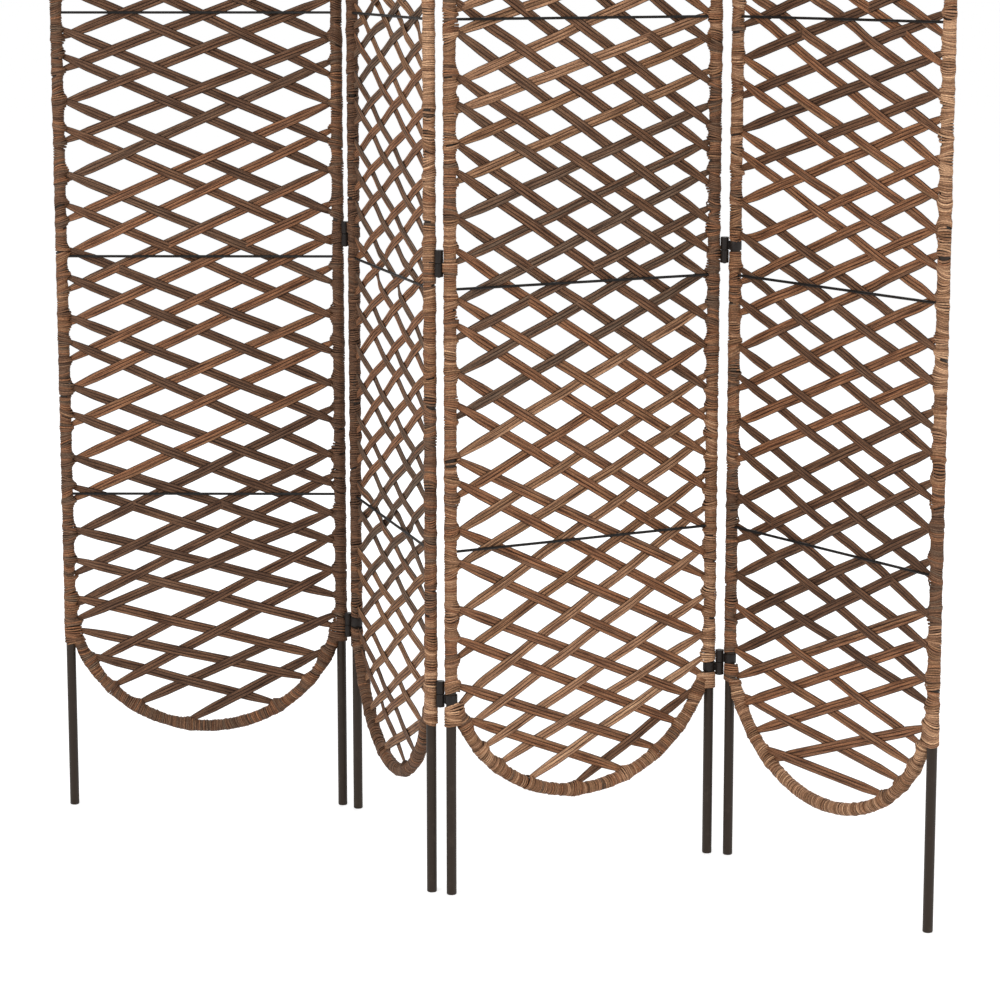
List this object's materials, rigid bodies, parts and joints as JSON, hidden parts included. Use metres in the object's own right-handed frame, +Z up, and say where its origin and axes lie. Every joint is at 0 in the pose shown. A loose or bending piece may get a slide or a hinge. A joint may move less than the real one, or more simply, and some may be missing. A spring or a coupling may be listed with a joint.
{
  "type": "folding screen",
  "caption": "Folding room screen: woven wicker lattice panels with arched ends on slim round steel legs, joined by pin hinges and standing in a zigzag.",
  "frame": {"origin": "on the floor, in the middle of the screen's footprint as it stands in the zigzag", "axes": "+Z up, +X along the row of panels from panel 1 to panel 4, +Y away from the side that the picture shows"},
  "size_m": [1.173, 0.5314, 1.8014],
  "materials": {
    "tube_steel": "powder-coated steel tube and rod, very dark brown, satin",
    "rod_steel": "dark coated steel wire rod, satin",
    "hinge_steel": "dark brown coated steel hinge, worn satin",
    "wicker": "stained wicker, flat three-strand bands and wound strand, streaked brown, satin"
  },
  "bodies": {
    "panel_1": {"panel_1_left_leg": "tube_steel", "panel_1_right_leg": "tube_steel", "panel_1_bottom_arc": "tube_steel", "panel_1_top_arc": "tube_steel", "panel_1_cross_rod_1": "rod_steel", "panel_1_cross_rod_2": "rod_steel", "panel_1_cross_rod_3": "rod_steel", "panel_1_cross_rod_4": "rod_steel", "panel_1_wicker": "wicker", "hinge_1_2_low_pin_leaf": "hinge_steel", "hinge_1_2_middle_pin_leaf": "hinge_steel", "hinge_1_2_high_pin_leaf": "hinge_steel"},
    "panel_2": {"panel_2_left_leg": "tube_steel", "panel_2_right_leg": "tube_steel", "panel_2_bottom_arc": "tube_steel", "panel_2_top_arc": "tube_steel", "panel_2_cross_rod_1": "rod_steel", "panel_2_cross_rod_2": "rod_steel", "panel_2_cross_rod_3": "rod_steel", "panel_2_cross_rod_4": "rod_steel", "panel_2_wicker": "wicker", "hinge_1_2_low_socket_leaf": "hinge_steel", "hinge_1_2_middle_socket_leaf": "hinge_steel", "hinge_1_2_high_socket_leaf": "hinge_steel", "hinge_2_3_low_socket_leaf": "hinge_steel", "hinge_2_3_middle_socket_leaf": "hinge_steel", "hinge_2_3_high_socket_leaf": "hinge_steel"},
    "panel_3": {"panel_3_left_leg": "tube_steel", "panel_3_right_leg": "tube_steel", "panel_3_bottom_arc": "tube_steel", "panel_3_top_arc": "tube_steel", "panel_3_cross_rod_1": "rod_steel", "panel_3_cross_rod_2": "rod_steel", "panel_3_cross_rod_3": "rod_steel", "panel_3_cross_rod_4": "rod_steel", "panel_3_wicker": "wicker", "hinge_2_3_low_pin_leaf": "hinge_steel", "hinge_2_3_middle_pin_leaf": "hinge_steel", "hinge_2_3_high_pin_leaf": "hinge_steel", "hinge_3_4_low_pin_leaf": "hinge_steel", "hinge_3_4_middle_pin_leaf": "hinge_steel", "hinge_3_4_high_pin_leaf": "hinge_steel"},
    "panel_4": {"panel_4_left_leg": "tube_steel", "panel_4_right_leg": "tube_steel", "panel_4_bottom_arc": "tube_steel", "panel_4_top_arc": "tube_steel", "panel_4_cross_rod_1": "rod_steel", "panel_4_cross_rod_2": "rod_steel", "panel_4_cross_rod_3": "rod_steel", "panel_4_cross_rod_4": "rod_steel", "panel_4_wicker": "wicker", "hinge_3_4_low_socket_leaf": "hinge_steel", "hinge_3_4_middle_socket_leaf": "hinge_steel", "hinge_3_4_high_socket_leaf": "hinge_steel"}
  },
  "joints": [
    {"name": "fold_1_2", "type": "hinge", "parent": "panel_1", "child": "panel_2", "pos_m": [-0.18379, 0.24923, 0.82], "axis": [0, 0, -1], "range_deg": [-72.3, 107.7]},
    {"name": "fold_2_3", "type": "hinge", "parent": "panel_2", "child": "panel_3", "pos_m": [-0.03459, -0.12879, 0.82], "axis": [0, 0, 1], "range_deg": [-99.6, 80.4]},
    {"name": "fold_3_4", "type": "hinge", "parent": "panel_3", "child": "panel_4", "pos_m": [0.33048, 0.04976, 0.82], "axis": [0, 0, -1], "range_deg": [-81, 99]}
  ]
}
